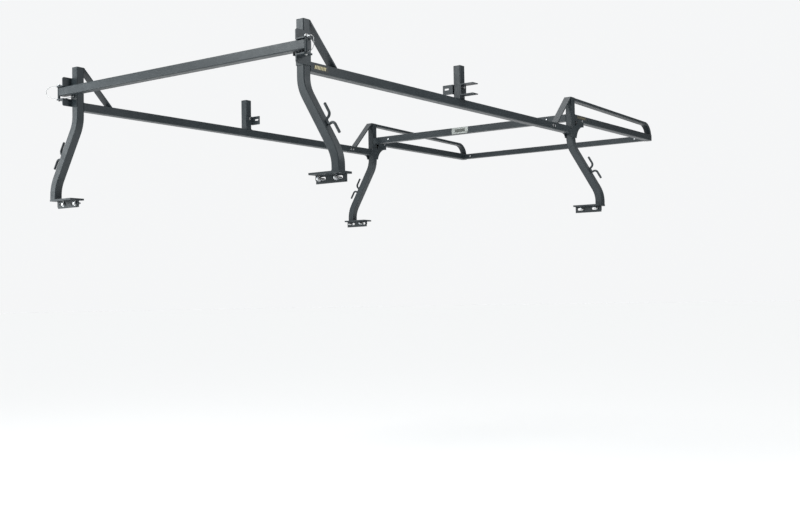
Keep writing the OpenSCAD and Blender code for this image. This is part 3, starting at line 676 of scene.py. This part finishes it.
def screws():
    """Every bolt and nut, one piece for each of the CAD's groups."""
    out = {name: Builder() for name in ("foot_bolts", "splice_bolts", "gusset_bolts", "crossbar_bolts",
                                        "header_bolts", "stake_bolts")}
    seat = FLANGE_X - WASHER_T
    for side, _ in SIDES:
        for slot in FOOT_SLOTS:
            for x, shift, ahead in ((seat, -FOOT_BOLT_SHIFT, X), (AHEAD - seat, FOOT_BOLT_SHIFT, -X)):
                foot_bolt(out["foot_bolts"], axis_at(at(side, x, slot + shift, FOOT_BOLT_Z), ahead))
        outward = Y * side
        for back in SPLICE_BOLTS_BACK:
            bolt(out["splice_bolts"], at(side, FRONT - back, IN, RAIL_Z), outward, M8, TUBE)
        forward, up = GUSSET_BOLT
        bolt(out["gusset_bolts"], at(side, FRONT + forward, IN - GUSSET_T, up), outward, M8,
             TUBE + 2 * GUSSET_T)
        bolt(out["crossbar_bolts"], at(side, FRONT, CROSSBAR_BOLT_Y, CAB_Z), X, M8, TUBE)
        bolt(out["header_bolts"], at(side, header_lo.x, HEADER_BOLT_Y, HEADER_Z), X, M8, HEADER_TUBE)
        channel = CHANNEL_T if side == RIGHT else 0
        bolt(out["stake_bolts"], at(side, stake_lo.x + TUBE / 2, IN - ANGLE_T, STAKE_BOLT_Z), outward, M10,
             TUBE + ANGLE_T + channel)
    for name, built in out.items():
        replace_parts(built.piece(f"hex_{name}", ZINC, "rack", "zinc_plate", 30), name)


screws()


# ---- Pull pins ----

def pull_pin(side, name):
    """Shank with a lead-in, a ball groove, and a knurled head with a dished top."""
    lo, hi = box_mm(f"lock_pin_{name}")
    place = Matrix.Translation(at(side, PIN_X, PIN_Y, 0))
    seat = hi.z - 9
    built = Builder()
    profile = [(2.4, lo.z), (2.76, lo.z), (4.76, lo.z + 2), (4.76, lo.z + 5), (4.2, lo.z + 5.6),
               (4.2, lo.z + 7), (4.76, lo.z + 7.6), (4.76, seat)]
    built.lathe([(r * MM, z * MM) for r, z in profile], place, 32)

    def knurl(r, z, t):
        if r < 7.9 * MM:
            return r, z
        return r * (1 - 0.035 * (0.5 + 0.5 * math.cos(26 * t))), z
    head = [(5.5, seat), (7.6, seat), (8.5, seat + 0.9), (8.5, seat + 3.6), (7.7, seat + 4.2),
            (7.7, seat + 4.9), (8.5, seat + 5.5), (8.5, seat + 7.4), (7.4, hi.z - 0.4), (6.3, hi.z),
            (5.4, hi.z), (4.6, hi.z - 0.7), (1.5, hi.z - 1.0)]
    built.lathe([(r * MM, z * MM) for r, z in head], place, 104, knurl)
    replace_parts(built.piece(f"pull_pin_{name}", ZINC, f"{name}_pin", "zinc_plate", 40), f"lock_pin_{name}")


for side, name in SIDES:
    pull_pin(side, name)


# ---- Small fittings ----

def crimps():
    """Pressed bands round the ferrules that the lanyards leave from."""
    built, r, sides = Builder(), 2.35, 28
    for side, _ in SIDES:
        for y in (868.0, 870.6, 873.2, 875.2):
            ring = []
            for k in range(sides):
                t = 2 * math.pi * k / sides
                ring.append(at(side, PIN_X + r * math.cos(t), y, FERRULE_Z + r * math.sin(t)))
            bead(built, ring, Y, 0.35 * MM, True)
    built.piece("ferrule_bands", WIRE, "rack", "wire_steel", 50)


def plate_face():
    """Middle of the information plate's rear face, and its half width and half height."""
    lo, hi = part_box("spec_plate")
    return Vector((lo.x, (lo.y + hi.y) / 2, (lo.z + hi.z) / 2)), (hi.y - lo.y) / 2, (hi.z - lo.z) / 2


def plate_rivets():
    """Rolled rim and four rivets of the blank information plate."""
    centre, half_y, half_z = plate_face()
    rim, inset = 1.5 * MM, 6 * MM
    built = Builder()
    bead(built, frame_of(centre, Y * (half_y - rim), Z * (half_z - rim), 3 * MM), X, 0.5 * MM, True)
    dome = [(2.4, 0), (2.3, 0.4), (1.9, 0.9), (1.2, 1.25), (0.4, 1.4)]
    for dy in (-1, 1):
        for dz in (-1, 1):
            spot = centre + Vector((0, dy * (half_y - inset), dz * (half_z - inset)))
            built.lathe([(r * MM, z * MM) for r, z in dome], axis_at(spot, -X), 24)
    built.piece("plate_rivets", PLATE, "rack", "info_plate", 50)


def sticker_bars():
    """Plain slanted bars printed on the two stickers, where the lettering is left out."""
    node = frame["nodes"]["decals"]
    x = np.array([v.co.x for v in node.data.vertices])
    z = np.array([v.co.z for v in node.data.vertices])
    lo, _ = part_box("decals")
    middle = (x.min() + x.max()) / 2
    pitch, wide, lean, edge, thick = 9.8 * MM, 5.8 * MM, 4.5 * MM, 5 * MM, 0.08 * MM
    for name, mask, material in (("sticker_bars_rear", x < middle, CREAM),
                                 ("sticker_bars_front", x > middle, FADED)):
        x0, x1 = x[mask].min(), x[mask].max()
        low, high = z[mask].min() + edge, z[mask].max() - edge
        built = Builder()
        for i in range(int((x1 - x0 - 2 * edge - lean) / pitch)):
            a = x0 + edge + i * pitch
            front = [(a, low), (a + wide, low), (a + wide + lean, high), (a + lean, high)]
            built.rings([[Vector((u, lo.y - d, w)) for u, w in front] for d in (0.0, thick)])
        built.piece(name, material, "rack", "sticker", 30)


def plate_field():
    """Grey printed panel on the blank information plate."""
    centre, _, _ = plate_face()
    outline = frame_of(centre, Y * 40 * MM, Z * 10.5 * MM, 4 * MM)
    built = Builder()
    built.rings([[p - X * d for p in outline] for d in (0.0, 0.1 * MM)])
    built.piece("plate_field", GREY, "rack", "info_plate", 30)


crimps()
plate_rivets()
sticker_bars()
plate_field()


# ---- Floor and light ----

GROUND, FLOOR_R = -1.5335, 90.0
COOL = (0.93, 0.98, 1.0)


def floor():
    """Pale floor at the level of the ground under the vehicle."""
    m = Nodes("floor")
    grain = m.noise(60, 3)
    colour = m.mix(m.span(grain, 0.3, 0.7), (0.815, 0.822, 0.822), (0.825, 0.832, 0.832))
    material = m.finish(colour, m.span(grain, 0.3, 0.7, 0.68, 0.74), m.bump(grain, 0.00005, 0.1))
    m.set(Specular_IOR_Level=0.15)
    mesh = bpy.data.meshes.new("floor")
    sides = 96
    ring = [(FLOOR_R * math.cos(t), FLOOR_R * math.sin(t), GROUND)
            for t in (2 * math.pi * k / sides for k in range(sides))]
    mesh.from_pydata(ring, [], [list(range(sides))])
    mesh.materials.append(material)
    obj = bpy.data.objects.new("floor", mesh)
    bpy.context.scene.collection.objects.link(obj)


def area(name, place, target, size, power, colour):
    """Round area light at a place, aimed at a target."""
    light = bpy.data.lights.new(name, "AREA")
    light.shape, light.size, light.energy, light.color = "DISK", size, power, colour
    obj = bpy.data.objects.new(name, light)
    bpy.context.scene.collection.objects.link(obj)
    obj.location = place
    obj.rotation_euler = (Vector(target) - Vector(place)).to_track_quat("-Z", "Y").to_euler()


def light_it():
    """Bright sky that the camera sees as flat, three area lights and a soft overhead sun."""
    world = bpy.data.worlds.new("studio")
    bpy.context.scene.world = world
    world.use_nodes = True
    tree = world.node_tree
    back = tree.nodes["Background"]
    place = tree.nodes.new("ShaderNodeTexCoord")
    split = tree.nodes.new("ShaderNodeSeparateXYZ")
    ramp = tree.nodes.new("ShaderNodeValToRGB")
    path = tree.nodes.new("ShaderNodeLightPath")
    level = tree.nodes.new("ShaderNodeMix")
    elements = ramp.color_ramp.elements
    for at_height, tone in ((0.0, 0.04), (0.10, 0.06), (0.30, 0.20), (0.62, 0.62)):
        element = elements.new(at_height) if at_height else elements[0]
        element.color = (tone, tone, tone, 1)
    elements[-1].color = (1, 1, 1, 1)
    tree.links.new(place.outputs["Generated"], split.inputs[0])
    tree.links.new(split.outputs["Z"], ramp.inputs["Fac"])
    tree.links.new(path.outputs["Is Camera Ray"], level.inputs["Factor"])
    tree.links.new(ramp.outputs["Color"], level.inputs[2])
    level.inputs[3].default_value = 0.93
    tree.links.new(level.outputs[0], back.inputs["Strength"])
    back.inputs["Color"].default_value = (0.985, 0.993, 1.0, 1)
    area("key", (-1.9, 0.9, 1.7), (0.0, -0.75, 0.6), 1.2, 46, COOL)
    area("rim", (-1.9, 3.1, 0.5), (0.0, 0.9, 0.35), 1.5, 34, COOL)
    area("fill", (1.5, -2.9, 1.5), (0.3, -0.8, 0.5), 1.2, 22, (0.93, 0.97, 1.0))
    sun = bpy.data.lights.new("overhead", "SUN")
    sun.energy, sun.angle = 1.72, math.radians(40)
    obj = bpy.data.objects.new("overhead", sun)
    bpy.context.scene.collection.objects.link(obj)
    obj.rotation_euler = (math.radians(-10), math.radians(-8), 0)
    bpy.context.scene.view_settings.view_transform = "Standard"


floor()
light_it()
